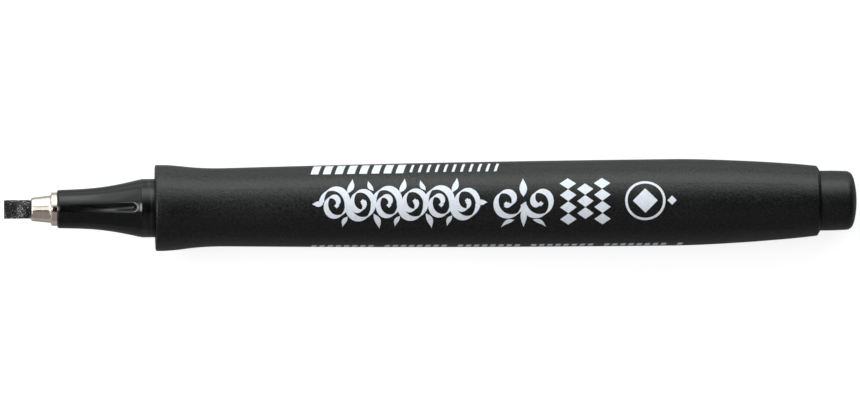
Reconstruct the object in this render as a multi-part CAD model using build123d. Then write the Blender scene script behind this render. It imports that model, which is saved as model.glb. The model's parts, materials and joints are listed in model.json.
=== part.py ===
from build123d import *
import math
import os

# A calligraphy marker with its cap off. All sizes are in millimetres.
# The pen's axis is the X axis, with the nib at -X, the tail at +X and the origin half way.
# The nib's flat faces and (nearly) the section's slots look up and down, along Z.
# "Stations" are distances along the pen, measured from the nib's tip.

# Whole pen
LENGTH = 137.5
BELLY_RADIUS = 7.0        # widest point of the barrel
RUNNING_GAP = 0.03        # radial gap in the two push fits that can be drawn apart
SEATED_GAP = 0.01         # radial gap around parts that are pressed home for good

# Nib: a bonded fibre rod, ground to a broad chisel at the front
NIB_RADIUS = 1.5
BLADE_THICKNESS = 0.8
BLADE_END = 1.9           # station where the flat blade ends and the hollow-ground scoop starts
SCOOP_END = 3.6           # station where the scoop has run out to the full rod
SCOOP_RADIUS = 2.6
NIB_END = 46.0            # the rod's tail reaches into the reservoir
NIB_TAIL_TAPER = 2.0
NIB_TAIL_RADIUS = 0.7

# Ferrule: a turned metal collar with a tube behind it
FERRULE_START = 4.35
FERRULE_LIP_RADIUS = 1.87
CONE_END_RADIUS = 2.22
FLANGE_START = 7.62
FLANGE_RADIUS = 2.69
FERRULE_LIP_FILLET = 0.34
FLANGE_ROOT_FILLET = 0.36
FLANGE_FRONT_FILLET, FLANGE_BACK_FILLET = 0.1, 0.06
FERRULE_TUBE_RADIUS = 2.2
FERRULE_TUBE_CHAMFER = 0.3
FERRULE_END = 16.5

# Front section: glossy, slender at the ferrule and flared towards the barrel
SECTION_START = 8.55      # the ferrule's flange rests on this face
SECTION_FRONT_RADIUS = 3.09
SECTION_EDGE = 0.35
FLARE_END = 21.75
FLARE_END_RADIUS = 4.62
FLARE_FRONT_HANDLE = (5.2, 0.12)    # the flare's curve leaves each end along these handles
FLARE_BACK_HANDLE = (5.4, 1.3)
GROOVE_WIDTH, GROOVE_DEPTH = 0.1, 0.07
BAND_START = 22.25        # plain band behind the flare, which a cap's seal slides over
BAND_RADIUS = 4.71
THROAT_RADIUS = 1.8
THROAT_END = 22.0
THROAT_CONE = 1.5
SPIGOT_RADIUS = 4.42
SPIGOT_END = 38.5
SPIGOT_BORE_RADIUS = 3.3
SLOT_RADIUS = 0.7         # the two long slots have round bottoms and ball ends
SLOT_FLOOR_RADIUS = 3.28
SLOT_LEVEL_END = 15.0     # the slots' floors run level to here, then climb with the flare
SLOT_CLIMB_RADIUS = 21.9
SLOT_END = 21.5
SLOT_TURN = 2.4           # degrees between the slots and the nib's flats

# Barrel: waisted behind a collar-like front rim, swelling to the belly, tapering to the tail
BARREL_START = 24.35
SHOULDER = 24.65          # the band's conical back beds in the barrel's mouth, down to here
RIM_RADIUS = 6.96
RIM_EDGE = 0.25
RIM_END = 25.0
RIM_HANDLE = 3.35         # handles: how long the curves run level at the rim, waist and belly
WAIST_STATION, WAIST_RADIUS = 34.6, 6.33
WAIST_FRONT_HANDLE, WAIST_BACK_HANDLE = 4.85, 4.1
BELLY_STATION = 108.0
BELLY_FRONT_HANDLE, BELLY_BACK_HANDLE = 45.0, 6.8
TAPER_END, TAPER_END_RADIUS = 131.1, 5.66
TAPER_END_HANDLE, TAPER_END_SLOPE = 3.9, 0.135
TAPER_END_FILLET = 0.2
BARREL_END = 131.5
BARREL_BACK_RADIUS = 4.95
SEAT_RADIUS = 4.45        # front bore, for the section's spigot
SEAT_END = 39.0
BORE_RADIUS = 4.65        # main bore, open at the tail

# Ink reservoir: a fibre bundle in a plastic film
CORE_RADIUS = 4.3
CORE_START, CORE_END = 39.0, 118.5
CORE_CHAMFER = 0.3
SOCKET_RADIUS = 1.55
SOCKET_END = 46.6
FILM_THICKNESS = 0.15
FILM_INSET = 0.5          # the core stands this far out of the film at each end

# Tail plug
PLUG_START = 119.0
PLUG_SPIGOT_RADIUS = BORE_RADIUS - RUNNING_GAP
PLUG_BORE_RADIUS = 3.7
PLUG_BORE_END = 134.6
HEAD_RADIUS = 4.83
HEAD_STRAIGHT_END = 133.6
HEAD_END_RADIUS = 4.72
HEAD_CORNER = 1.2
DOME_RADIUS = 14.0

# The two spigots: long ribs carry the push fit, behind a plain part next to the shoulder
LEAD_IN = 0.4             # chamfer on the ends that are pushed into a bore
PLAIN_LENGTH = 2.0
RIB_WIDTH = 0.9
RELIEF = 0.12             # how far the skin lies below the ribs
SECTION_RIBS, PLUG_RIBS = 6, 8


def at(station, radius):
    """A point of an outline, in the half plane of X and distance from the axis."""
    return (station - LENGTH / 2, radius)


def turned(*edges):
    """The solid that a closed outline sweeps around the pen's axis."""
    return revolve(make_face(Curve() + list(edges)), Axis.X, 360)


def run(*points):
    """Straight edges through the given (station, radius) points."""
    return Polyline(*[at(*p) for p in points])


def curve(*points):
    """One cubic curve from its four (station, radius) control points."""
    return Bezier(*[at(*p) for p in points])


def ring(solid, station, radius):
    """The circular edge of a turned solid nearest a station and radius."""
    def distance(edge):
        return math.hypot(edge.arc_center.X - at(station, 0)[0], edge.radius - radius)
    return min(solid.edges().filter_by(GeomType.CIRCLE), key=distance)


def tube(start, end, outer, inner):
    """A plain tube on the pen's axis."""
    return turned(run((start, inner), (start, outer), (end, outer), (end, inner), (start, inner)))


def relieved(start, end, radius, count):
    """What is taken off a spigot to leave it with long ribs that carry the push fit."""
    skin = tube(start, end, radius + 1, radius - RELIEF)
    length = end - start + 2
    middle = Pos(at((start + end) / 2, 0)[0], 0, 0)
    for i in range(count):
        blade = Pos(0, 0, radius) * Box(length, RIB_WIDTH, 2 * radius)
        skin -= middle * Rot(360 / count * i, 0, 0) * blade
    return skin


def blade_cutter():
    """The space above the nib's blade and scoop, as a prism across the pen."""
    half, top = BLADE_THICKNESS / 2, 2 * NIB_RADIUS
    scoop = RadiusArc(at(BLADE_END, half), at(SCOOP_END, NIB_RADIUS + 0.05), -SCOOP_RADIUS)
    walls = run(
        (SCOOP_END, NIB_RADIUS + 0.05), (SCOOP_END, top), (-1, top), (-1, half), (BLADE_END, half)
    )
    outline = make_face(Curve() + [scoop, walls])
    return extrude(Plane.XZ * outline, 2 * NIB_RADIUS, both=True)


def nib():
    rod = turned(
        run(
            (0, 0), (0, NIB_RADIUS), (NIB_END - NIB_TAIL_TAPER, NIB_RADIUS),
            (NIB_END, NIB_TAIL_RADIUS), (NIB_END, 0), (0, 0),
        )
    )
    cutter = blade_cutter()
    for side in (0, 180):
        rod -= Rot(side, 0, 0) * cutter
    return rod


def ferrule():
    bore = NIB_RADIUS + SEATED_GAP
    collar = turned(
        run(
            (FERRULE_START, bore), (FERRULE_START, FERRULE_LIP_RADIUS),
            (FLANGE_START, CONE_END_RADIUS), (FLANGE_START, FLANGE_RADIUS),
            (SECTION_START, FLANGE_RADIUS), (SECTION_START, FERRULE_TUBE_RADIUS),
            (FERRULE_END, FERRULE_TUBE_RADIUS), (FERRULE_END, bore), (FERRULE_START, bore),
        )
    )
    collar = fillet(ring(collar, FLANGE_START, CONE_END_RADIUS), FLANGE_ROOT_FILLET)
    collar = fillet(ring(collar, FERRULE_START, FERRULE_LIP_RADIUS), FERRULE_LIP_FILLET)
    collar = fillet(ring(collar, FLANGE_START, FLANGE_RADIUS), FLANGE_FRONT_FILLET)
    collar = fillet(ring(collar, SECTION_START, FLANGE_RADIUS), FLANGE_BACK_FILLET)
    return chamfer(ring(collar, FERRULE_END, FERRULE_TUBE_RADIUS), FERRULE_TUBE_CHAMFER)


def slot_cutter():
    """A slot along the flare: a level run, then a climb on a wide arc to a ball end."""
    level = SLOT_FLOOR_RADIUS + SLOT_RADIUS
    arc_centre = SLOT_FLOOR_RADIUS + SLOT_CLIMB_RADIUS
    path_radius = SLOT_CLIMB_RADIUS - SLOT_RADIUS
    start_x, turn_x = at(SECTION_START, 0)[0], at(SLOT_LEVEL_END, 0)[0]
    end_x = at(SLOT_END - SLOT_RADIUS, 0)[0]
    end_height = arc_centre - math.sqrt(path_radius**2 - (end_x - turn_x) ** 2)
    run_in = Pos((start_x + turn_x) / 2, 0, level) * Rot(0, 90, 0) * Cylinder(SLOT_RADIUS, turn_x - start_x)
    climb = Pos(turn_x, 0, arc_centre) * Rot(90, 0, 0) * Torus(path_radius, SLOT_RADIUS)
    kept = Pos((turn_x + end_x) / 2, 0, level) * Box(end_x - turn_x, 4 * SLOT_RADIUS, 8 * SLOT_RADIUS)
    return run_in + (climb & kept) + Pos(end_x, 0, end_height) * Sphere(SLOT_RADIUS)


def front_section():
    front_bore = FERRULE_TUBE_RADIUS + SEATED_GAP
    front_reach, front_rise = FLARE_FRONT_HANDLE
    back_reach, back_rise = FLARE_BACK_HANDLE
    body = turned(
        run((SECTION_START, front_bore), (SECTION_START, SECTION_FRONT_RADIUS)),
        curve(
            (SECTION_START, SECTION_FRONT_RADIUS),
            (SECTION_START + front_reach, SECTION_FRONT_RADIUS + front_rise),
            (FLARE_END - back_reach, FLARE_END_RADIUS - back_rise), (FLARE_END, FLARE_END_RADIUS),
        ),
        run(
            (FLARE_END, FLARE_END_RADIUS), (FLARE_END + GROOVE_WIDTH, FLARE_END_RADIUS - GROOVE_DEPTH),
            (BAND_START, BAND_RADIUS), (BARREL_START, BAND_RADIUS), (SHOULDER, SPIGOT_RADIUS),
            (SPIGOT_END, SPIGOT_RADIUS), (SPIGOT_END, SPIGOT_BORE_RADIUS),
            (THROAT_END + THROAT_CONE, SPIGOT_BORE_RADIUS), (THROAT_END, THROAT_RADIUS),
            (FERRULE_END, THROAT_RADIUS), (FERRULE_END, front_bore), (SECTION_START, front_bore),
        ),
    )
    body = fillet(ring(body, SECTION_START, SECTION_FRONT_RADIUS), SECTION_EDGE)
    body = chamfer(ring(body, SPIGOT_END, SPIGOT_RADIUS), LEAD_IN)
    body -= relieved(SHOULDER + PLAIN_LENGTH, SPIGOT_END + 1, SPIGOT_RADIUS, SECTION_RIBS)
    for side in (0, 180):
        body -= Rot(side - SLOT_TURN, 0, 0) * slot_cutter()
    return body


def barrel():
    mouth = BAND_RADIUS + RUNNING_GAP
    shell = turned(
        run(
            (SHOULDER, SEAT_RADIUS), (BARREL_START, mouth),
            (BARREL_START, RIM_RADIUS), (RIM_END, RIM_RADIUS),
        ),
        curve(
            (RIM_END, RIM_RADIUS), (RIM_END + RIM_HANDLE, RIM_RADIUS),
            (WAIST_STATION - WAIST_FRONT_HANDLE, WAIST_RADIUS), (WAIST_STATION, WAIST_RADIUS),
        ),
        curve(
            (WAIST_STATION, WAIST_RADIUS), (WAIST_STATION + WAIST_BACK_HANDLE, WAIST_RADIUS),
            (BELLY_STATION - BELLY_FRONT_HANDLE, BELLY_RADIUS), (BELLY_STATION, BELLY_RADIUS),
        ),
        curve(
            (BELLY_STATION, BELLY_RADIUS), (BELLY_STATION + BELLY_BACK_HANDLE, BELLY_RADIUS),
            (TAPER_END - TAPER_END_HANDLE, TAPER_END_RADIUS + TAPER_END_HANDLE * TAPER_END_SLOPE),
            (TAPER_END, TAPER_END_RADIUS),
        ),
        run(
            (TAPER_END, TAPER_END_RADIUS), (BARREL_END, BARREL_BACK_RADIUS),
            (BARREL_END, BORE_RADIUS), (SEAT_END, BORE_RADIUS), (SEAT_END, SEAT_RADIUS),
            (SHOULDER, SEAT_RADIUS),
        ),
    )
    shell = fillet(ring(shell, BARREL_START, RIM_RADIUS), RIM_EDGE)
    return fillet(ring(shell, TAPER_END, TAPER_END_RADIUS), TAPER_END_FILLET)


def reservoir_core():
    core = turned(
        run(
            (CORE_START, SOCKET_RADIUS), (CORE_START, CORE_RADIUS), (CORE_END, CORE_RADIUS),
            (CORE_END, 0), (SOCKET_END, 0), (SOCKET_END, SOCKET_RADIUS), (CORE_START, SOCKET_RADIUS),
        )
    )
    ends = [ring(core, CORE_START, CORE_RADIUS), ring(core, CORE_END, CORE_RADIUS)]
    return chamfer(ends, CORE_CHAMFER)


def reservoir_film():
    start, end = CORE_START + FILM_INSET, CORE_END - FILM_INSET
    return tube(start, end, CORE_RADIUS + FILM_THICKNESS, CORE_RADIUS)


def tail_plug():
    corner = LENGTH - DOME_RADIUS + math.sqrt(DOME_RADIUS**2 - HEAD_END_RADIUS**2)
    plug = turned(
        run(
            (LENGTH, 0), (PLUG_BORE_END, 0), (PLUG_BORE_END, PLUG_BORE_RADIUS),
            (PLUG_START, PLUG_BORE_RADIUS), (PLUG_START, PLUG_SPIGOT_RADIUS),
            (BARREL_END, PLUG_SPIGOT_RADIUS), (BARREL_END, HEAD_RADIUS),
            (HEAD_STRAIGHT_END, HEAD_RADIUS), (corner, HEAD_END_RADIUS),
        ),
        RadiusArc(at(corner, HEAD_END_RADIUS), at(LENGTH, 0), DOME_RADIUS),
    )
    plug = fillet(ring(plug, corner, HEAD_END_RADIUS), HEAD_CORNER)
    plug = chamfer(ring(plug, PLUG_START, PLUG_SPIGOT_RADIUS), LEAD_IN)
    return plug - relieved(PLUG_START - 1, BARREL_END - PLAIN_LENGTH, PLUG_SPIGOT_RADIUS, PLUG_RIBS)


os.makedirs("parts", exist_ok=True)
for make in (nib, ferrule, front_section, barrel, reservoir_core, reservoir_film, tail_plug):
    export_step(make(), f"parts/{make.__name__}.step")
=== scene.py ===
import json
import math

import bmesh
import bpy
import numpy as np
from mathutils import Matrix, Quaternion, Vector, noise


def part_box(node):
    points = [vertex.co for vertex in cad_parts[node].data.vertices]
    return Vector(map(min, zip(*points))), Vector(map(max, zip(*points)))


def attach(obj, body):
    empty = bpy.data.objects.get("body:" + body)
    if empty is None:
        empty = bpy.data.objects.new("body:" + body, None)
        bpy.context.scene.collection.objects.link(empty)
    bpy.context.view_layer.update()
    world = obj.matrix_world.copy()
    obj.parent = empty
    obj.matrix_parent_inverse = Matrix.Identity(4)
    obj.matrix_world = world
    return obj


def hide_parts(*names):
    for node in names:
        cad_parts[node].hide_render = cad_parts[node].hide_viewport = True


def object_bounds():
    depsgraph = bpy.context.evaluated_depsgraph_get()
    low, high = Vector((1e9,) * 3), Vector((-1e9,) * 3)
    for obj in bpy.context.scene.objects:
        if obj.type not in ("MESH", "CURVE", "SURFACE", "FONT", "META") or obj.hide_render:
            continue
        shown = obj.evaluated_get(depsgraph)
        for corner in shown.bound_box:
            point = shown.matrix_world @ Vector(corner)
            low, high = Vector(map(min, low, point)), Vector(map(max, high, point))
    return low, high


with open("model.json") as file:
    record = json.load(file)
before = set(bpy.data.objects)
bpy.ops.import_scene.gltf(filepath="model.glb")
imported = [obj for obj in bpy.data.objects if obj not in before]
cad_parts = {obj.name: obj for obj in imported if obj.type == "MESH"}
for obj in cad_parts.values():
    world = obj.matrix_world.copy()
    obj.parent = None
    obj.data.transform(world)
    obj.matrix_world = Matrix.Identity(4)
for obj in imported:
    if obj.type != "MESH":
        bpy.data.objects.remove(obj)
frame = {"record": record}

# The looks of a calligraphy marker, built around its CAD model.
# Outlines are in millimetres: (station along the pen from the nib's tip, distance from the axis).
# Angles round the pen are measured from straight up (+Z) towards +Y.

MM = 0.001
CAD_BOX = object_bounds()
TIP_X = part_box("nib")[0].x


def span(node):
    """The stations where a CAD node starts and ends."""
    low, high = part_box(node)
    return (low.x - TIP_X) / MM, (high.x - TIP_X) / MM


def mount_radius(name):
    found = [m for m in frame["record"]["mounts"] if m["name"] == name]
    return found[0]["dims"]["r_mm"]


NIB_END = span("nib")[1]
FERRULE_START, FERRULE_END = span("ferrule")
SECTION_START, SPIGOT_END = span("front_section")
BARREL_START, BARREL_END = span("barrel")
PLUG_START, PEN_END = span("tail_plug")
CORE_START, CORE_END = span("reservoir_core")
FILM_START, FILM_END = span("reservoir_film")
BAND_RADIUS = mount_radius("cap_seat")
HEAD_RADIUS = mount_radius("cap_post")

# Nib
NIB_RADIUS = 1.5
BLADE_HALF = 0.4
BLADE_END = 1.9
SCOOP_END = 3.6
SCOOP_RADIUS = 2.6
NIB_BEVEL, FLAT_BEVEL, SIDE_BEVEL = 0.1, 0.07, 0.06
NIB_TAIL_RADIUS = 0.7
NIB_OFFSET = 0.04           # the part that shows sits a hair towards +Y
FELT_END, FELT_FADE = 4.35, 0.5
FELT_DEPTH, FELT_LIMIT = 0.04, 0.02
FRAY_DEPTH, FRAY_REACH = 0.03, 0.3

# Ferrule
LIP_RADIUS = 1.87
CONE_END, CONE_END_RADIUS = 7.62, 2.22
FLANGE_RADIUS = 2.69
TUBE_RADIUS = 2.2

# Front section
FLARE_END, FLARE_END_RADIUS = 21.75, 4.62
SECTION_FRONT_RADIUS = 3.09
LIP_LENGTH, LIP_RISE = 0.6, 0.015
GROOVE_WIDTH, GROOVE_DEPTH = 0.08, 0.035
BAND_START = 22.14
SHOULDER = 24.65
SPIGOT_RADIUS = 4.42
SPIGOT_BORE, SPIGOT_BORE_START = 3.3, 23.5
NIB_BORE, NIB_BORE_END = 1.8, 22.0
FERRULE_BORE = 2.21
RIB_HEIGHT, RIB_HALF_WIDTH, RIB_SLOPE = 0.12, 0.45, 0.1
SECTION_RIBS = 6
SLOT_RADIUS = 0.46
SLOT_END = 21.1
SLOT_LIP = 0.46
SLOT_FLOOR = 3.28
SLOT_LEVEL_END, SLOT_RISE = 16.3, 0.03
SLOT_TURN = math.radians(2.4)

# Barrel
RIM_END, RIM_RADIUS = 25.0, 6.96
WAIST, WAIST_RADIUS = 34.6, 6.33
BELLY, BELLY_RADIUS = 108.0, 7.0
TAPER_END, TAPER_END_RADIUS = 131.1, 5.66
TAPER_END_SLOPE = 0.135
TAPER_LAST = TAPER_END - 0.6    # where the taper's curve hands over to its rounded end
BARREL_BACK_RADIUS = 4.95
BORE_RADIUS = 4.65
SEAT_RADIUS, SEAT_END = 4.45, 39.0
PARTING_ANGLE = math.radians(26)
PARTING_STEP, PARTING_FLASH = 0.008, 0.005
SHELL_INSET = 0.026         # leaves room inside the CAD box for the print
FIT = 0.03                  # a push fit's gap

# Tail plug
HEAD_LAND_END, HEAD_END_RADIUS = 133.6, 4.72
HEAD_ROUNDING = 1.2
CROWN_RADIUS = 14.0
CAVITY_RADIUS, CAVITY_END = 3.7, 134.6
PLUG_RIBS = 8

# Reservoir
CORE_RADIUS = 4.3
SOCKET_RADIUS, SOCKET_END = 1.55, 46.6
FILM_INSIDE, FILM_OUTSIDE = 4.31, 4.44

ON_AXIS = 0.05              # stands for a radius of nought in an outline


# ---------------------------------------------------------------- outlines

def bezier(p0, p1, p2, p3, count):
    """Points of one cubic curve, ends included."""
    t = np.linspace(0, 1, count)[:, None]
    p0, p1, p2, p3 = (np.array(p, float) for p in (p0, p1, p2, p3))
    return (1 - t) ** 3 * p0 + 3 * t * (1 - t) ** 2 * p1 + 3 * t * t * (1 - t) * p2 + t**3 * p3


def rounded(corners, steps=7):
    """The points of an outline whose corners are (station, radius, rounding)."""
    points = []
    for i, (station, radius, rounding) in enumerate(corners):
        here = np.array((station, radius), float)
        if not rounding:
            points.append(here)
            continue
        before = np.array(corners[i - 1][:2], float) - here
        after = np.array(corners[(i + 1) % len(corners)][:2], float) - here
        before /= np.linalg.norm(before)
        after /= np.linalg.norm(after)
        half = math.acos(float(np.clip(before @ after, -1, 1))) / 2
        bisector = (before + after) / np.linalg.norm(before + after)
        centre = here + bisector * rounding / math.sin(half)
        reach = rounding / math.tan(half)
        first, last = here + before * reach - centre, here + after * reach - centre
        start = math.atan2(first[1], first[0])
        turn = math.atan2(last[1], last[0]) - start
        turn = (turn + math.pi) % (2 * math.pi) - math.pi
        for k in range(steps):
            a = start + turn * k / (steps - 1)
            points.append(centre + rounding * np.array((math.cos(a), math.sin(a))))
    return np.array(points)


def subdivided(points, longest):
    """The same outline with its long runs divided."""
    out = [points[0]]
    for a, b in zip(points[:-1], points[1:]):
        count = max(1, math.ceil(np.linalg.norm(b - a) / longest))
        out += [a + (b - a) * k / count for k in range(1, count + 1)]
    return np.array(out)


def barrel_curves():
    """The barrel's outer line, from its front rim to the end of its taper."""
    front = bezier(
        (RIM_END, RIM_RADIUS), (RIM_END + 3.35, RIM_RADIUS),
        (WAIST - 4.85, WAIST_RADIUS), (WAIST, WAIST_RADIUS), 40,
    )
    body = bezier(
        (WAIST, WAIST_RADIUS), (WAIST + 4.1, WAIST_RADIUS),
        (BELLY - 45.0, BELLY_RADIUS), (BELLY, BELLY_RADIUS), 90,
    )
    taper = bezier(
        (BELLY, BELLY_RADIUS), (BELLY + 6.8, BELLY_RADIUS),
        (TAPER_END - 3.9, TAPER_END_RADIUS + 3.9 * TAPER_END_SLOPE), (TAPER_END, TAPER_END_RADIUS), 50,
    )
    return np.vstack([front, body[1:], taper[1:]])


BARREL_LINE = barrel_curves()


def barrel_radius(station):
    return float(np.interp(station, BARREL_LINE[:, 0], BARREL_LINE[:, 1]))


# ---------------------------------------------------------------- meshes

def finish_mesh(name, verts, faces, sharp=35):
    """A smooth-shaded object from points in metres, with its normals turned outwards."""
    mesh = bpy.data.meshes.new(name)
    mesh.from_pydata([tuple(v) for v in verts], [], faces)
    cleaner = bmesh.new()
    cleaner.from_mesh(mesh)
    bmesh.ops.recalc_face_normals(cleaner, faces=cleaner.faces)
    cleaner.to_mesh(mesh)
    cleaner.free()
    mesh.shade_smooth()
    mesh.set_sharp_from_angle(angle=math.radians(sharp))
    piece = bpy.data.objects.new(name, mesh)
    bpy.context.scene.collection.objects.link(piece)
    return piece


def even(count):
    return np.linspace(0, 2 * math.pi, count, endpoint=False)


def grid_points(outline, columns, shape=None):
    """Station, radius and angle of every point of a turned form, as arrays of ring by column."""
    stations = np.repeat(outline[:, :1], len(columns(1.0)), axis=1)
    radii = np.repeat(outline[:, 1:], stations.shape[1], axis=1)
    angles = np.array([columns(max(r, 1e-6)) for r in outline[:, 1]])
    if shape is not None:
        radii = shape(stations, radii, angles)
    return stations, radii, angles


def placed(stations, radii, angles):
    """Those points in metres, in the pen's frame."""
    x = TIP_X + stations * MM
    return np.stack([x, radii * np.sin(angles) * MM, radii * np.cos(angles) * MM], axis=-1)


def skin_faces(rings, columns, closed):
    """Quads over a grid of points that closes round the pen, and along it too if closed."""
    faces = []
    for i in range(rings if closed else rings - 1):
        a, b = i * columns, (i + 1) % rings * columns
        for j in range(columns):
            k = (j + 1) % columns
            faces.append((a + j, b + j, b + k, a + k))
    return faces


def add_caps(verts, faces, rings, columns):
    """Closes both ends of a grid of points with a fan round a middle point."""
    for ring in (0, rings - 1):
        base, middle = ring * columns, len(verts)
        verts.append(np.mean(verts[base:base + columns], axis=0))
        faces += [(base + j, base + (j + 1) % columns, middle) for j in range(columns)]


def turned(name, outline, columns, shape=None, closed=True):
    """A lathe form. A closed outline makes a ring, and an open one is capped at both ends."""
    grid = placed(*grid_points(outline, columns, shape))
    rings, count = grid.shape[:2]
    verts = list(grid.reshape(-1, 3))
    faces = skin_faces(rings, count, closed)
    if not closed:
        add_caps(verts, faces, rings, count)
    return finish_mesh(name, verts, faces)


# ---------------------------------------------------------------- pieces

def slot_depth(stations, radii, angles, passes=120):
    """Sinks the two slots into the flare, with softly rounded lips.

    Each pass moves every point inwards by most of the gap that is left between it and the cut shape.
    """
    outer = (stations > SECTION_START + 2) & (stations < BARREL_START - 0.5) & (radii > 3.0)
    centre = SLOT_FLOOR + SLOT_RISE * np.maximum(stations - SLOT_LEVEL_END, 0) ** 2 + SLOT_RADIUS
    angles = angles - SLOT_TURN
    ahead = np.maximum(stations - SLOT_END + SLOT_RADIUS, 0)
    left = radii.copy()
    for _ in range(passes):
        y, z = left * np.sin(angles), np.abs(left * np.cos(angles))
        below = np.minimum(z - centre, 0)
        inside = SLOT_RADIUS - np.sqrt(ahead**2 + y**2 + below**2)
        outside = left - radii
        blend = np.maximum(SLOT_LIP - np.abs(outside - inside), 0) / SLOT_LIP
        gap = np.maximum(outside, inside) + blend**2 * SLOT_LIP / 4
        left -= np.where(outer, np.clip(gap, 0, 0.2), 0) * 0.7
    return left


def ribbed(stations, radii, angles, start, end, radius, count):
    """Takes the skin of a spigot down between its ribs."""
    on_skin = (stations > start) & (stations < end) & (np.abs(radii - radius) < 0.02)
    turn = (angles * count / (2 * math.pi) + 0.5) % 1 - 0.5
    off_rib = np.abs(turn) * 2 * math.pi / count * radius
    return radii - RIB_HEIGHT * on_skin * np.clip((off_rib - RIB_HALF_WIDTH) / RIB_SLOPE, 0, 1)


def section_columns(radius):
    """Angles of a ring's points, which stand closest together along the walls and lips of the slots."""
    floor, wall = np.linspace(0, 0.3, 7), np.linspace(0.3, 1.1, 44)
    half = np.concatenate([floor, wall[1:]])
    across = np.arcsin(np.clip(np.concatenate([-half[:0:-1], half]) / max(radius, 1.5), -0.99, 0.99))
    side = np.linspace(across[-1], math.pi - across[-1], 44)[1:-1]
    return SLOT_TURN + np.concatenate([across, side, math.pi + across, math.pi + side])


def section_outline():
    lip = (SECTION_START + LIP_LENGTH, SECTION_FRONT_RADIUS + LIP_RISE)
    flare = bezier(
        lip, (SECTION_START + 5.2, SECTION_FRONT_RADIUS + 0.12),
        (FLARE_END - 5.4, FLARE_END_RADIUS - 1.3), (FLARE_END, FLARE_END_RADIUS), 60,
    )
    front = rounded([
        (SECTION_START, FERRULE_BORE, 0), (SECTION_START, SECTION_FRONT_RADIUS, 0.35), (*lip, 0),
    ])
    back = rounded([
        (FLARE_END, FLARE_END_RADIUS, 0.03),
        (FLARE_END + GROOVE_WIDTH, FLARE_END_RADIUS - GROOVE_DEPTH, 0.03),
        (BAND_START, BAND_RADIUS, 0.06), (BARREL_START, BAND_RADIUS, 0.04), (SHOULDER, SPIGOT_RADIUS, 0),
        (SHOULDER + 2, SPIGOT_RADIUS, 0), (SHOULDER + 2.1, SPIGOT_RADIUS, 0),
        (SPIGOT_END - 0.8, SPIGOT_RADIUS, 0), (SPIGOT_END - 0.4, SPIGOT_RADIUS, 0),
        (SPIGOT_END, SPIGOT_RADIUS - 0.4, 0.1), (SPIGOT_END, SPIGOT_BORE, 0.1),
        (SPIGOT_BORE_START, SPIGOT_BORE, 0.2), (NIB_BORE_END, NIB_BORE, 0.2),
        (FERRULE_END, NIB_BORE, 0.1), (FERRULE_END, FERRULE_BORE, 0),
    ], steps=5)
    return np.vstack([front[:-1], subdivided(flare[:-1], 0.06), back])


def front_section():
    def shape(stations, radii, angles):
        radii = slot_depth(stations, radii, angles)
        return ribbed(stations, radii, angles, SHOULDER + 2.05, SPIGOT_END - 0.6, SPIGOT_RADIUS, SECTION_RIBS)

    return turned("front_section_shell", section_outline(), section_columns, shape)


def ferrule():
    bore = NIB_RADIUS + 0.01
    outline = rounded([
        (FERRULE_START, bore, 0.06), (FERRULE_START, LIP_RADIUS, 0.34), (CONE_END, CONE_END_RADIUS, 0.36),
        (CONE_END, FLANGE_RADIUS, 0.1), (SECTION_START, FLANGE_RADIUS, 0.06), (SECTION_START, TUBE_RADIUS, 0),
        (FERRULE_END, TUBE_RADIUS, 0.2), (FERRULE_END, bore, 0.06),
    ], steps=9)
    columns = even(160)
    return turned("ferrule_collar", subdivided(outline, 0.5), lambda radius: columns)


def scoop_half(station):
    """Half the nib's thickness at a station: the flat blade, then the hollow-ground scoop."""
    if station <= BLADE_END:
        return BLADE_HALF
    if station >= SCOOP_END:
        return NIB_RADIUS + 0.1
    start, end = np.array((BLADE_END, BLADE_HALF)), np.array((SCOOP_END, NIB_RADIUS + 0.05))
    chord = end - start
    reach = math.sqrt(SCOOP_RADIUS**2 - (np.linalg.norm(chord) / 2) ** 2)
    normal = np.array((-chord[1], chord[0])) / np.linalg.norm(chord)
    centre = (start + end) / 2 + normal * reach
    return centre[1] - math.sqrt(SCOOP_RADIUS**2 - (station - centre[0]) ** 2)


def fibre_relief(x, y, z):
    """How far the felted surface stands in or out at a point, from -1 to 1: clumps and fine strands."""
    clumps = noise.noise(Vector((x * 2.2, y * 5.0, z * 5.0)))
    strands = noise.noise(Vector((x * 5.0 + 31, y * 16.0, z * 16.0)))
    return 0.6 * clumps + 0.4 * strands


def nib_stations():
    """Stations of the rod's rings: close together where it shows, and few inside the pen."""
    bevel = np.linspace(0, NIB_BEVEL, 4)
    shown = np.linspace(NIB_BEVEL, FELT_END + 0.25, 100)
    hidden = np.linspace(5, NIB_END - 2, 12)
    return np.concatenate([bevel, shown[1:], hidden, [NIB_END]])


def nib_point(station, angle):
    """A point of the rod in metres: clipped to the blade's thickness, felted, and frayed in front."""
    ease = 1 - max(0.0, 1 - station / NIB_BEVEL) ** 2
    shown = max(0.0, min(1.0, (FELT_END - station) / FELT_FADE))
    radius = NIB_RADIUS if station < NIB_END else NIB_TAIL_RADIUS
    half = scoop_half(station) - FLAT_BEVEL * (1 - ease)
    radius -= SIDE_BEVEL * (1 - ease)
    y, z = radius * math.sin(angle), radius * math.cos(angle)
    z = max(-half, min(half, z))
    lift = min(shown * ease * FELT_DEPTH * (fibre_relief(station, y, z) + 0.1), FELT_LIMIT)
    if abs(abs(z) - half) < 1e-6:
        z += math.copysign(lift, z)
    else:
        y += math.sin(angle) * lift
        z += math.cos(angle) * lift
    ragged = noise.noise(Vector((y * 4.0, z * 4.0, 7.0))) + 0.5
    fray = FRAY_DEPTH * max(ragged, 0) * max(1 - station / FRAY_REACH, 0)
    return TIP_X + (station + fray) * MM, (y + NIB_OFFSET * shown) * MM, z * MM


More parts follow.
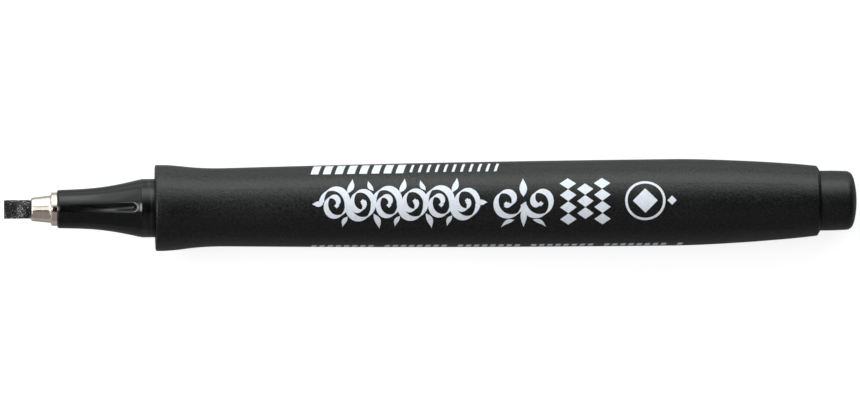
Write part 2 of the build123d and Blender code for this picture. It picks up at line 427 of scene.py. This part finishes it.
def nib():
    """The fibre rod, from its blade to its tail in the reservoir."""
    stations, angles = nib_stations(), even(176)
    verts = [nib_point(station, angle) for station in stations for angle in angles]
    faces = skin_faces(len(stations), len(angles), False)
    add_caps(verts, faces, len(stations), len(angles))
    return finish_mesh("nib_rod", verts, faces, sharp=50)


def barrel_columns():
    """Even angles, with more of them on the two mould parting lines."""
    near = np.radians([-1.4, -0.7, -0.35, 0, 0.35, 0.7, 1.4])
    lines = np.concatenate([PARTING_ANGLE + near, PARTING_ANGLE + math.pi + near])
    rest = np.array([
        a for a in even(200)
        if min(abs(a - PARTING_ANGLE), abs(a - PARTING_ANGLE - math.pi)) > math.radians(2)
    ])
    return np.sort(np.concatenate([rest, lines]))


BARREL_COLUMNS = barrel_columns()


def shell_offset(stations, angles):
    """How far the barrel's skin stands off its outline.

    It is inset a little, and the two halves of its mould leave a step and a flash, worn away in places.
    """
    turn = (angles - PARTING_ANGLE) % (2 * math.pi)
    half = np.where(turn < math.pi, 1.0, -1.0)
    edge = np.minimum(np.minimum(turn % math.pi, math.pi - turn % math.pi) / math.radians(0.5), 1)
    flash = PARTING_FLASH * np.exp(-((turn % math.pi) / math.radians(0.6)) ** 2)
    worn = 0.5 + 0.5 * np.sin(stations * 0.83 + 1) * np.sin(stations * 0.31 + 2)
    return worn * (PARTING_STEP * half * edge * np.cos(turn) + flash) - SHELL_INSET


def barrel():
    head = rounded([
        (SHOULDER, SEAT_RADIUS, 0), (BARREL_START, BAND_RADIUS + FIT, 0.05),
        (BARREL_START, RIM_RADIUS, 0.25), (RIM_END, RIM_RADIUS, 0),
    ])
    tail = rounded([
        (TAPER_LAST, barrel_radius(TAPER_LAST), 0), (TAPER_END, TAPER_END_RADIUS, 0.2),
        (BARREL_END, BARREL_BACK_RADIUS, 0.08), (BARREL_END, BORE_RADIUS, 0.05),
        (SEAT_END, BORE_RADIUS, 0), (SEAT_END, SEAT_RADIUS, 0),
    ])
    line = BARREL_LINE[(BARREL_LINE[:, 0] > RIM_END) & (BARREL_LINE[:, 0] < TAPER_LAST)]
    outline = np.vstack([head, line, tail])

    def shape(stations, radii, angles):
        outside = radii > BARREL_BACK_RADIUS + 0.2
        return np.where(outside, radii + shell_offset(stations, angles), radii)

    return turned("barrel_shell", outline, lambda radius: BARREL_COLUMNS, shape)


def crown_station(radius):
    """Where the plug's domed end stands at a distance from the axis."""
    return PEN_END - CROWN_RADIUS + np.sqrt(CROWN_RADIUS**2 - radius**2)


def plug_outline(spigot):
    """From the cavity's floor, out over the spigot and the head, to the crown's middle."""
    cavity = [(CAVITY_END, ON_AXIS), (CAVITY_END, CAVITY_RADIUS), (PLUG_START + 0.1, CAVITY_RADIUS)]
    head = rounded([
        (PLUG_START, CAVITY_RADIUS, 0.1), (PLUG_START, spigot - 0.4, 0), (PLUG_START + 0.4, spigot, 0),
        (PLUG_START + 0.8, spigot, 0), (BARREL_END - 2.1, spigot, 0), (BARREL_END - 2, spigot, 0),
        (BARREL_END, spigot, 0), (BARREL_END, HEAD_RADIUS, 0.08), (HEAD_LAND_END, HEAD_RADIUS, 0),
        (crown_station(HEAD_END_RADIUS), HEAD_END_RADIUS, HEAD_ROUNDING),
        (PEN_END - 0.3, HEAD_END_RADIUS * 0.6, 0),
    ], steps=10)[:-1]
    radii = np.linspace(head[-1][1] - 0.25, ON_AXIS, 14)
    crown = np.stack([crown_station(radii), radii], axis=1)
    return np.vstack([cavity, head, crown])


def tail_plug():
    spigot = BORE_RADIUS - FIT

    def shape(stations, radii, angles):
        return ribbed(stations, radii, angles, PLUG_START + 0.6, BARREL_END - 2.05, spigot, PLUG_RIBS)

    outline = plug_outline(spigot)
    return turned("tail_plug_shell", outline, lambda radius: BARREL_COLUMNS, shape, closed=False)


def reservoir_core():
    """The fibre bundle, with the socket that takes the nib's tail."""
    outline = rounded([
        (CORE_START, SOCKET_RADIUS, 0.1), (CORE_START, CORE_RADIUS, 0.3), (CORE_END, CORE_RADIUS, 0.3),
        (CORE_END, ON_AXIS, 0), (SOCKET_END, ON_AXIS, 0), (SOCKET_END, SOCKET_RADIUS, 0.1),
    ])
    columns = even(120)

    def shape(stations, radii, angles):
        bundles = 0.03 * np.abs(np.sin(angles * 23)) + 0.01 * np.sin(angles * 61 + stations * 0.2)
        return np.where(radii > CORE_RADIUS - 0.3, radii - bundles, radii)

    return turned("reservoir_fibre_bundle", subdivided(outline, 2.0), lambda radius: columns, shape)


def reservoir_film():
    """The wrap round the bundle, with the overlap where its edges are welded."""
    outline = rounded([
        (FILM_START, FILM_INSIDE, 0), (FILM_START, FILM_OUTSIDE, 0.03),
        (FILM_END, FILM_OUTSIDE, 0.03), (FILM_END, FILM_INSIDE, 0),
    ])
    columns = even(120)

    def shape(stations, radii, angles):
        overlap = np.clip((0.25 - np.abs(angles - math.pi)) / 0.05, 0, 1)
        return radii + 0.01 * overlap * (radii > FILM_OUTSIDE - 0.04)

    return turned("reservoir_wrap", subdivided(outline, 3.0), lambda radius: columns, shape)


# ---------------------------------------------------------------- printed ornament

PRINT_LIFT = 0.012
PRINT_ROOT = -0.03          # how far a sheet's underside is sunk into the barrel
LEAF_LIFT, CURL_LIFT = PRINT_LIFT + 0.002, PRINT_LIFT + 0.001
NIB_ANGLE = math.radians(38)


class Print:
    """Thin shapes laid on the barrel. A point is (station, arc), with the arc measured round from the top."""

    def __init__(self):
        self.verts, self.faces = [], []

    def point(self, station, arc, lift):
        radius = barrel_radius(station)
        angle = arc / radius
        radius += lift + float(shell_offset(station, angle))
        side, height = radius * math.sin(angle) * MM, radius * math.cos(angle) * MM
        self.verts.append((TIP_X + station * MM, side, height))

    def patch(self, rows, lift=PRINT_LIFT):
        """A closed sheet over a grid of points, thin enough to read as ink."""
        rows = np.asarray(rows, float)
        n, m = rows.shape[:2]
        base = len(self.verts)
        for level in (lift, PRINT_ROOT):
            for row in rows:
                for station, arc in row:
                    self.point(station, arc, level)
        under = base + n * m
        for i in range(n - 1):
            for j in range(m - 1):
                a = i * m + j
                quad = (a, a + 1, a + m + 1, a + m)
                self.faces.append(tuple(base + k for k in quad))
                self.faces.append(tuple(under + k for k in reversed(quad)))
        rim = list(range(m)) + [i * m + m - 1 for i in range(1, n)]
        rim += [(n - 1) * m + j for j in range(m - 2, -1, -1)] + [i * m for i in range(n - 2, 0, -1)]
        for a, b in zip(rim, rim[1:] + rim[:1]):
            self.faces.append((base + b, base + a, under + a, under + b))

    def bar(self, station, arc, length, height, slant=0.0):
        """A leaning bar, standing on its lower left corner."""
        rows = []
        for v in np.linspace(0, 1, max(3, math.ceil(height / 0.3))):
            left = station + slant * v * height
            rows.append([(left + length * u, arc + v * height) for u in np.linspace(0, 1, 4)])
        self.patch(rows)

    def stroke(self, path, width, hairline=0.16, lift=PRINT_LIFT):
        """What a broad nib held at a fixed angle leaves along a path."""
        path = np.asarray(path, float)
        along = np.gradient(path, axis=0)
        along /= np.maximum(np.linalg.norm(along, axis=1, keepdims=True), 1e-9)
        normal = np.stack([-along[:, 1], along[:, 0]], axis=1)
        nib_edge = np.array((math.cos(NIB_ANGLE), math.sin(NIB_ANGLE))) * width / 2
        side = np.sign(normal @ nib_edge)
        side[side == 0] = 1
        half = nib_edge * side[:, None] + normal * hairline / 2
        steps = np.linspace(-1, 1, 4)
        self.patch([[p + h * k for k in steps] for p, h in zip(path, half)], lift)

    def make(self, name):
        return finish_mesh(name, self.verts, self.faces, sharp=60)


def arc_path(centre, radius, start, end, count=40, squash=1.0):
    """Points of a round or oval arc; radius may be a pair that the arc grows between."""
    first, last = radius if isinstance(radius, tuple) else (radius, radius)
    t = np.linspace(0, 1, count)
    a = np.radians(start + (end - start) * t)
    r = first + (last - first) * t
    return np.stack([centre[0] + r * np.cos(a), centre[1] + r * np.sin(a) * squash], axis=1)


def leaf(ink, root, tip, width, bend=0.0):
    """A pointed leaf between two points, bowed sideways by bend."""
    root, tip = np.array(root, float), np.array(tip, float)
    along = tip - root
    side = np.array((-along[1], along[0])) / np.linalg.norm(along)
    rows = []
    for t in np.linspace(0, 1, 15):
        half = max(width / 2 * math.sin(math.pi * t**0.8) ** 1.2, 0.02)
        middle = root + along * t + side * bend * math.sin(math.pi * t)
        rows.append([middle + side * half * k for k in (-1, 0, 1)])
    ink.patch(rows, LEAF_LIFT)


def lozenge(ink, station, arc, half_width, half_height):
    t = np.linspace(-1, 1, 5 + math.ceil(half_height * 5))
    width, height = half_width / 2, half_height / 2
    ink.patch([[(station + width * (u - v), arc + height * (u + v)) for u in t] for v in t])


def spiral(ink, centre, radii, start, turn, width, squash):
    """A curl that winds in to its eye."""
    curl = arc_path(centre, radii, start, start + turn, 64, squash)
    ink.stroke(curl, width, lift=CURL_LIFT)
    lozenge(ink, *curl[-1], 0.42, 0.42)


def vine(ink, start, end, middle, count=6, squash=1.22):
    """A running vine: its stem swings over and under a row of curls, with leaves between and at the ends."""
    radius = (end - start) / count / 2
    for i in range(count):
        up = 1 if i % 2 == 0 else -1
        centre = (start + (2 * i + 1) * radius, middle)
        ink.stroke(arc_path(centre, radius, 180, 180 - 180 * up, 40, squash), 0.95)
        spiral(ink, centre, (radius, 0.45), 0, -395 * up, 0.72, squash)
        if i < count - 1:
            joint = centre[0] + radius
            leaf(ink, (joint, middle + 1.7 * up), (joint + 0.9, middle + 4.3 * up), 0.95, -0.25 * up)
            leaf(ink, (joint, middle - 2.1 * up), (joint - 0.8, middle - 3.9 * up), 0.75, -0.2 * up)
    leaf(ink, (start + 0.3, middle), (start - 1.5, middle), 0.9)
    leaf(ink, (end - 0.3, middle), (end + 1.5, middle), 0.9)


def lyre(ink, centre, arc):
    """Two curls back to back, rising from one foot, with a bud between them."""
    for side in (-1, 1):
        begin = -8 if side < 0 else 188
        spiral(ink, (centre + side * 2.55, arc + 0.5), (2.65, 0.5), begin, side * 470, 0.85, 1.1)
        leaf(ink, (centre + side * 1.5, arc - 2.6), (centre + side * 3.6, arc - 3.9), 0.7, side * 0.3)
    leaf(ink, (centre, arc + 1.2), (centre, arc + 4.4), 1.2)
    leaf(ink, (centre, arc - 0.6), (centre, arc - 3.9), 1.0)


def lozenges(ink, start, arc):
    """The broad-nib marks that a scribe stacks to set out a height: three staggered columns."""
    for column in range(3):
        for step in range(4 if column % 2 == 0 else 3):
            rise = 1.98 * (step + (0 if column % 2 == 0 else 0.5))
            lozenge(ink, start + 2.75 * column, arc + rise, 1.32, 0.97)


def target(ink, station, arc):
    """A ring with a lozenge in it, and a small lozenge beside it."""
    rows = [
        [(station + r * math.cos(a), arc + r * math.sin(a)) for r in (2.85, 3.05, 3.25)]
        for a in np.linspace(0, 2 * math.pi, 73)
    ]
    ink.patch(rows)
    lozenge(ink, station, arc, 2.0, 2.0)
    lozenge(ink, station + 4.3, arc, 0.75, 0.75)


def rules(ink):
    """Rows of short strokes: broad and fine bars high on the far side, and dashes low on the near side."""
    start = 49.3
    for i in range(8):
        ink.bar(start + i * 1.95, 5.9, 1.25, 3.0, slant=0.22)
    for i in range(11):
        ink.bar(65.2 + i * 1.36, 6.1, 0.42, 2.5, slant=0.22)
    for i in range(46):
        if i % 9 != 8:
            ink.bar(start + i * 1.31, -9.7, 0.8, 1.25, slant=0.15)


def ornament():
    """Generic pen patterns where the barrel is printed. None of them is a letter."""
    ink = Print()
    vine(ink, 50.9, 76.1, 0.35)
    lyre(ink, 83.4, 0.0)
    lozenges(ink, 90.6, -2.6)
    target(ink, 103.0, 0.35)
    rules(ink)
    return ink.make("printed_ornament")


# ---------------------------------------------------------------- materials

class Look:
    """A Principled material, with the few kinds of node that its pattern needs."""

    def __init__(self, name, **sockets):
        self.material = bpy.data.materials.new(name)
        self.material.use_nodes = True
        self.tree = self.material.node_tree
        self.shader = self.tree.nodes["Principled BSDF"]
        self.place = self.tree.nodes.new("ShaderNodeTexCoord").outputs["Object"]
        for socket, value in sockets.items():
            self.shader.inputs[socket.replace("_", " ")].default_value = value

    def node(self, kind, inputs=(), **settings):
        made = self.tree.nodes.new(kind)
        for key, value in settings.items():
            setattr(made, key, value)
        for key, value in dict(inputs).items():
            if isinstance(value, bpy.types.NodeSocket):
                self.tree.links.new(value, made.inputs[key])
            else:
                made.inputs[key].default_value = value
        return made

    def axis(self, index):
        return self.node("ShaderNodeSeparateXYZ", {"Vector": self.place}).outputs[index]

    def stretched(self, x, y, z):
        return self.node("ShaderNodeMapping", {"Vector": self.place, "Scale": (x, y, z)}).outputs[0]

    def noise(self, size, detail=2.0, place=None):
        """Noise whose features are about size millimetres across."""
        inputs = {"Vector": place or self.place, "Scale": 1 / (size * MM), "Detail": detail}
        return self.node("ShaderNodeTexNoise", inputs).outputs["Fac"]

    def remap(self, value, low, high, to_low, to_high):
        inputs = {0: value, 1: low, 2: high, 3: to_low, 4: to_high}
        return self.node("ShaderNodeMapRange", inputs).outputs[0]

    def mix(self, amount, a, b):
        made = self.node("ShaderNodeMix", data_type="RGBA")
        for index, value in ((0, amount), (6, a), (7, b)):
            if isinstance(value, bpy.types.NodeSocket):
                self.tree.links.new(value, made.inputs[index])
            else:
                made.inputs[index].default_value = value
        return made.outputs[2]

    def blend(self, value, low, high, a, b):
        """Colour a where a value is low, and b where it is high."""
        return self.mix(self.remap(value, low, high, 0, 1), a, b)

    def math(self, operation, a, b):
        return self.node("ShaderNodeMath", {0: a, 1: b}, operation=operation).outputs[0]

    def bump(self, height, depth, strength=1.0, under=None):
        inputs = {"Height": height, "Distance": depth * MM, "Strength": strength}
        if under is not None:
            inputs["Normal"] = under
        return self.node("ShaderNodeBump", inputs).outputs[0]

    def set(self, socket, value):
        self.tree.links.new(value, self.shader.inputs[socket])


def rgb(r, g, b):
    return (r, g, b, 1.0)


def matt_plastic(name):
    """Fine-grained black moulding: sparkle of grain, faint clouds, and specks of dust."""
    look = Look(name, IOR=1.42, Roughness=0.5)
    grain = look.noise(0.3, 3.0)
    clouds = look.noise(5.0, 3.0)
    dust = look.remap(look.noise(0.42, 1.0), 0.66, 0.74, 0, 1)
    base = look.blend(grain, 0.38, 0.64, rgb(0.0034, 0.0039, 0.0037), rgb(0.0052, 0.0060, 0.0057))
    base = look.mix(dust, base, rgb(0.012, 0.0125, 0.012))
    cloudy = look.remap(clouds, 0.3, 0.7, 0, 0.5)
    look.set("Base Color", look.mix(cloudy, base, rgb(0.0045, 0.0051, 0.0049)))
    rough = look.remap(grain, 0.3, 0.7, 0.29, 0.45)
    look.set("Roughness", look.math("ADD", rough, look.remap(clouds, 0.3, 0.7, -0.02, 0.03)))
    look.set("Specular IOR Level", look.remap(grain, 0.35, 0.65, 0.39, 0.61))
    look.set("Normal", look.bump(grain, 0.05, 0.7))
    return look.material


def gloss_plastic(name):
    """Polished black moulding with faint orange peel and hairlines, and rubbed where the cap goes."""
    look = Look(name, IOR=1.42, Roughness=0.14)
    peel = look.noise(1.6, 2.0)
    hairs = look.noise(0.08, 2.0, look.stretched(0.05, 1, 1))
    rubs = look.remap(look.noise(0.45, 2.0, look.stretched(1, 0.06, 0.06)), 0.5, 0.62, 0, 1)
    on_band = look.remap(look.axis(0), TIP_X + BAND_START * MM, TIP_X + (BAND_START + 0.2) * MM, 0, 1)
    rubs = look.math("MULTIPLY", rubs, on_band)
    base = look.blend(peel, 0.4, 0.6, rgb(0.0015, 0.0015, 0.0018), rgb(0.003, 0.003, 0.0033))
    look.set("Base Color", look.mix(rubs, base, rgb(0.007, 0.007, 0.0068)))
    worn = look.math("SUBTRACT", look.math("MULTIPLY", rubs, 0.3), look.math("MULTIPLY", on_band, 0.08))
    look.set("Specular IOR Level", look.math("ADD", worn, 0.5))
    rough = look.remap(hairs, 0.45, 0.75, 0.12, 0.24)
    look.set("Roughness", look.math("ADD", rough, look.math("MULTIPLY", on_band, 0.07)))
    look.set("Normal", look.bump(hairs, 0.0015, 0.4, look.bump(peel, 0.004, 0.5)))
    return look.material


def turned_metal(name):
    """Nickel-plated turning: fine rings from the tool and a slight waviness."""
    look = Look(name, Metallic=1.0, Roughness=0.1)
    rings = look.noise(0.05, 2.0, look.stretched(1, 0.02, 0.02))
    waves = look.noise(0.9, 1.0)
    look.set("Base Color", look.blend(rings, 0.35, 0.65, rgb(0.90, 0.79, 0.70), rgb(0.97, 0.87, 0.78)))
    look.set("Roughness", look.remap(rings, 0.35, 0.7, 0.07, 0.16))
    look.set("Normal", look.bump(rings, 0.001, 0.5, look.bump(waves, 0.012, 0.5)))
    return look.material


def inked_fibre(name):
    """Bonded fibre soaked in black ink, with a painted highlight on the scoop and near the blade's two long
    edges, and pale flecks that are painted glints.
    """
    look = Look(name, IOR=1.34)
    strands = look.noise(0.2, 1.0, look.stretched(0.7, 1, 1))
    clumps = look.noise(0.6, 1.0)
    fine = look.noise(0.1, 2.0)
    along, across = look.axis(0), look.math("ABSOLUTE", look.axis(1), 0)
    # Painted highlight: the scoop and the blade's long edges are coloured paler, standing in for the light
    # they catch.
    scoop = look.math(
        "MULTIPLY",
        look.remap(along, TIP_X + BLADE_END * MM, TIP_X + (BLADE_END + 0.3) * MM, 0, 1),
        look.remap(along, TIP_X + (SCOOP_END - 0.5) * MM, TIP_X + SCOOP_END * MM, 1, 0.1),
    )
    side_highlight = look.remap(across, 0.9 * MM, 1.4 * MM, 0, 1.0)
    painted_highlight = look.math("MAXIMUM", scoop, side_highlight)
    # The strands noise, raised inside the painted highlight, sets where the painted glints fall.
    level = look.math("ADD", strands, look.math("MULTIPLY", painted_highlight, 0.09))
    level = look.math("ADD", level, look.remap(clumps, 0.3, 0.7, -0.03, 0.03))
    # Painted glints: pale flecks where that level runs high, standing in for fibre tips catching the light.
    painted_glints = look.remap(level, 0.635, 0.71, 0, 1)
    # The painted highlight's paler colour, mixed in over the ink's own dark tone.
    base = look.mix(painted_highlight, rgb(0.003, 0.003, 0.0034), rgb(0.023, 0.025, 0.025))
    base = look.mix(look.remap(fine, 0.4, 0.6, 0, 0.6), base, rgb(0.007, 0.007, 0.0074))
    # The painted glints go on top in pale grey.
    look.set("Base Color", look.mix(painted_glints, base, rgb(0.25, 0.26, 0.26)))
    look.set("Roughness", look.remap(fine, 0.3, 0.7, 0.42, 0.65))
    look.set("Normal", look.bump(strands, 0.05, 0.8, look.bump(fine, 0.02, 0.6)))
    return look.material


def print_ink(name):
    """White pad-printed ink, a little thin in places."""
    look = Look(name, IOR=1.45, Roughness=0.5)
    patches = look.noise(0.5, 3.0)
    grain = look.noise(0.12, 2.0)
    look.set("Base Color", look.blend(patches, 0.35, 0.65, rgb(0.655, 0.69, 0.755), rgb(0.735, 0.765, 0.84)))
    look.set("Roughness", look.remap(grain, 0.3, 0.7, 0.4, 0.6))
    look.set("Normal", look.bump(grain, 0.006, 0.4))
    return look.material


def reservoir_fibre(name):
    """Fibres that run along the bundle, soaked in ink."""
    look = Look(name, Roughness=0.8)
    strands = look.noise(0.15, 3.0, look.stretched(0.05, 1, 1))
    look.set("Base Color", look.blend(strands, 0.35, 0.65, rgb(0.012, 0.012, 0.016), rgb(0.06, 0.06, 0.075)))
    look.set("Normal", look.bump(strands, 0.05, 0.7))
    return look.material


def film_plastic(name):
    """Thin grey wrap with long creases."""
    look = Look(name, Roughness=0.2, IOR=1.49)
    creases = look.noise(3.0, 2.0, look.stretched(0.2, 1, 1))
    look.set("Base Color", look.blend(creases, 0.4, 0.6, rgb(0.30, 0.31, 0.33), rgb(0.45, 0.47, 0.49)))
    look.set("Roughness", look.remap(creases, 0.3, 0.7, 0.15, 0.3))
    look.set("Normal", look.bump(creases, 0.02, 0.4))
    return look.material


# ---------------------------------------------------------------- studio

FLOOR_LIFT = 0.82
FLOOR_REACH = 8.0
LAMP_DISTANCE = 0.8
TABLE_GLOW_HEIGHT = 0.0005


def floor_material():
    """Pale board. What the lens sees of it is lifted to white, as on a lit table."""
    look = Look("pale_board", Roughness=0.9)
    tone = look.noise(40.0, 2.0)
    look.set("Base Color", look.blend(tone, 0.4, 0.6, rgb(0.31, 0.31, 0.31), rgb(0.33, 0.33, 0.33)))
    seen = look.node("ShaderNodeLightPath").outputs["Is Camera Ray"]
    look.shader.inputs["Emission Color"].default_value = rgb(1, 1, 1)
    look.set("Emission Strength", look.math("MULTIPLY", seen, FLOOR_LIFT))
    return look.material


def studio_floor():
    mesh = bpy.data.meshes.new("studio_floor")
    maker = bmesh.new()
    bmesh.ops.create_grid(maker, x_segments=8, y_segments=8, size=FLOOR_REACH)
    maker.to_mesh(mesh)
    maker.free()
    floor = bpy.data.objects.new("studio_floor", mesh)
    floor.location.z = CAD_BOX[0].z
    bpy.context.scene.collection.objects.link(floor)
    mesh.materials.append(floor_material())


def lamp(name, place, facing, width, height, radiance, colour=(1, 1, 1), spin=None):
    """A soft light of a given brightness: a panel whose width runs level, or an oval if it has a spin."""
    light = bpy.data.lights.new(name, "AREA")
    light.shape = "RECTANGLE" if spin is None else "ELLIPSE"
    light.size, light.size_y = width, height
    area = width * height * (1 if spin is None else math.pi / 4)
    light.energy = radiance * math.pi * area
    light.color = colour
    holder = bpy.data.objects.new(name, light)
    holder.location = place
    holder.rotation_mode = "QUATERNION"
    turn = Vector(facing).to_track_quat("-Z", "Y")
    holder.rotation_quaternion = turn @ Quaternion((0, 0, 1), math.radians(spin or 0))
    holder.visible_camera = False
    bpy.context.scene.collection.objects.link(holder)


def lamp_size(half_angle):
    """The width of a light that reaches so many degrees to each side of its middle."""
    return 2 * LAMP_DISTANCE * math.tan(math.radians(half_angle))


def panel(name, low, high, side, half_width, radiance, colour, shift=0.0):
    """A light that fills the sky between two angles from straight up, on the +Y or -Y side."""
    middle = math.radians(low + high) / 2
    towards = Vector((0, side * math.sin(middle), math.cos(middle)))
    place = towards * LAMP_DISTANCE + Vector((LAMP_DISTANCE * math.tan(math.radians(shift)), 0, 0))
    lamp(name, place, -towards, lamp_size(half_width), lamp_size((high - low) / 2), radiance, colour)


def front_lamp(name, lean, across, width, height, radiance, spin=None):
    """A light beyond the nib, leaning so many degrees from straight up to -X and then to +Y."""
    lean, across = math.radians(lean), math.radians(across)
    upright = math.cos(lean)
    towards = Vector((-math.sin(lean), upright * math.sin(across), upright * math.cos(across)))
    lamp(name, towards * LAMP_DISTANCE, -towards, width, height, radiance, spin=spin)


# The key light is a big softbox with a bright middle.
# Its layers are nested: (low, high, half width, radiance, shift).
KEY_LAYERS = (
    (16, 89, 50, 0.22, 0), (23, 89, 48, 0.45, 0), (32, 89, 40, 0.7, 3), (41, 89, 30, 0.85, 8),
    (50, 81, 21, 0.95, 9), (58, 77, 18, 0.55, 8),
)
KEY_TINT = (0.95, 1.0, 0.985)
FILL_TINT = (1.0, 0.975, 0.94)

# The small light beyond the nib is three nested ovals: (lean, across, half width, half height, radiance).
NIB_LAYERS = ((34, 5, 18, 26, 1.0), (38, 4, 15, 14, 2.5), (41, 3.5, 11.5, 7.5, 8.5))
NIB_SPIN = 15


def studio_lights():
    for i, (low, high, half_width, radiance, shift) in enumerate(KEY_LAYERS):
        panel(f"key_{i}", low, high, 1, half_width, radiance, KEY_TINT, shift)
    panel("fill", 18, 89.5, -1, 45, 0.235, FILL_TINT)
    front_lamp("front_glow", 65, 0, 1.1, 0.42, 1.4)
    for i, (lean, across, half_width, half_height, radiance) in enumerate(NIB_LAYERS):
        width, height = lamp_size(half_width), lamp_size(half_height)
        front_lamp(f"nib_oval_{i}", lean, across, width, height, radiance, spin=NIB_SPIN)
    low = CAD_BOX[0].z + TABLE_GLOW_HEIGHT
    lamp("table_glow_far", (0, 0.36, low), (0, 0, 1), 0.6, 0.68, 0.75, KEY_TINT)
    lamp("table_glow_near", (0, 0.015, low), (0, 0, 1), 0.4, 0.014, 0.12, KEY_TINT)


def studio_world():
    """A nearly black surround, which the lens alone sees as dark grey where the floor ends."""
    world = bpy.data.worlds.new("studio")
    world.use_nodes = True
    tree = world.node_tree
    back = tree.nodes["Background"]
    seen = tree.nodes.new("ShaderNodeLightPath")
    tone = tree.nodes.new("ShaderNodeMapRange")
    tree.links.new(seen.outputs["Is Camera Ray"], tone.inputs["Value"])
    tone.inputs["To Min"].default_value = 0.06
    tone.inputs["To Max"].default_value = 0.95
    tree.links.new(tone.outputs["Result"], back.inputs["Strength"])
    bpy.context.scene.world = world


def camera():
    """A long lens above the pen, standing a little towards the nib, rolled so that the tail rises."""
    height = 2.2
    aim = Vector((-0.000115, 0, 0))
    roll = math.radians(0.638)
    data = bpy.data.cameras.new("camera")
    data.sensor_width = 36.0
    data.lens = 571.98
    data.clip_start, data.clip_end = 0.05, 50
    eye = bpy.data.objects.new("camera", data)
    eye.location = (TIP_X - 0.022, aim.y, height)
    forward = (aim - eye.location).normalized()
    level = Vector((math.cos(roll), -math.sin(roll), 0))
    up = level.cross(forward).normalized()
    right = forward.cross(up).normalized()
    turn = Matrix((right, up, -forward)).transposed()
    eye.rotation_mode = "QUATERNION"
    eye.rotation_quaternion = turn.to_quaternion()
    bpy.context.scene.collection.objects.link(eye)
    bpy.context.scene.camera = eye


def dress(piece, body, node, material):
    """Gives a piece its material and its body, and hides the CAD node that it stands for."""
    piece.data.materials.clear()
    piece.data.materials.append(material)
    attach(piece, body)
    if node:
        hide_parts(node)


bpy.context.scene.view_settings.view_transform = "Standard"
matt = matt_plastic("matt_barrel_plastic")
soaked_fibre = reservoir_fibre("reservoir_fibre")
dress(nib(), "front_unit", "nib", inked_fibre("inked_fibre"))
dress(ferrule(), "front_unit", "ferrule", turned_metal("turned_nickel"))
dress(front_section(), "front_unit", "front_section", gloss_plastic("gloss_plastic"))
dress(barrel(), "barrel_unit", "barrel", matt)
dress(tail_plug(), "tail_unit", "tail_plug", matt)
dress(reservoir_core(), "barrel_unit", "reservoir_core", soaked_fibre)
dress(reservoir_film(), "barrel_unit", "reservoir_film", film_plastic("clear_film"))
dress(ornament(), "barrel_unit", None, print_ink("white_print"))
studio_floor()
studio_lights()
studio_world()
camera()
